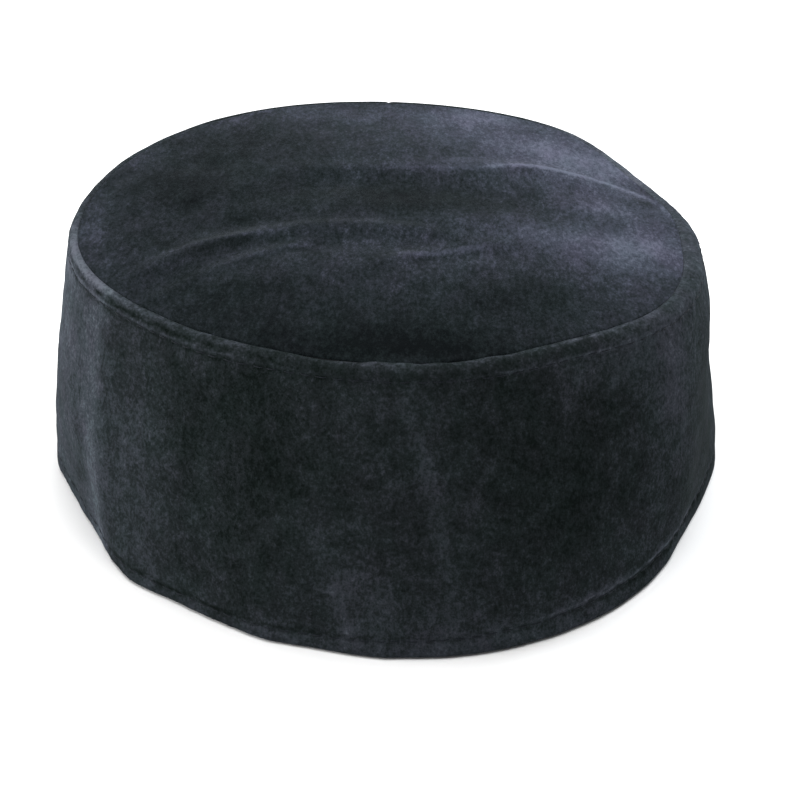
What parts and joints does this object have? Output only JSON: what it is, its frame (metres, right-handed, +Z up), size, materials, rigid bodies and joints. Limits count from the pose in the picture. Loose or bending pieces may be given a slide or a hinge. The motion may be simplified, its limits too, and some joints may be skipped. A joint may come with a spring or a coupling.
{
  "type": "velvet prayer cap",
  "caption": "Round velvet pillbox prayer cap with a flat creased top panel sewn to a tapering side band, a turned hem and an open hollow for the head.",
  "frame": {"origin": "on the ground, under the middle of the cap's box", "axes": "+Z up through the top panel, -Y towards the front of the cap, +X towards the wearer's left"},
  "size_m": [0.1733, 0.1865, 0.0688],
  "materials": {
    "velvet": "black cut-pile velvet, dark face on and paler at grazing angles"
  },
  "bodies": {
    "root": {"crown_tip": "velvet", "side_band": "velvet"}
  },
  "joints": []
}
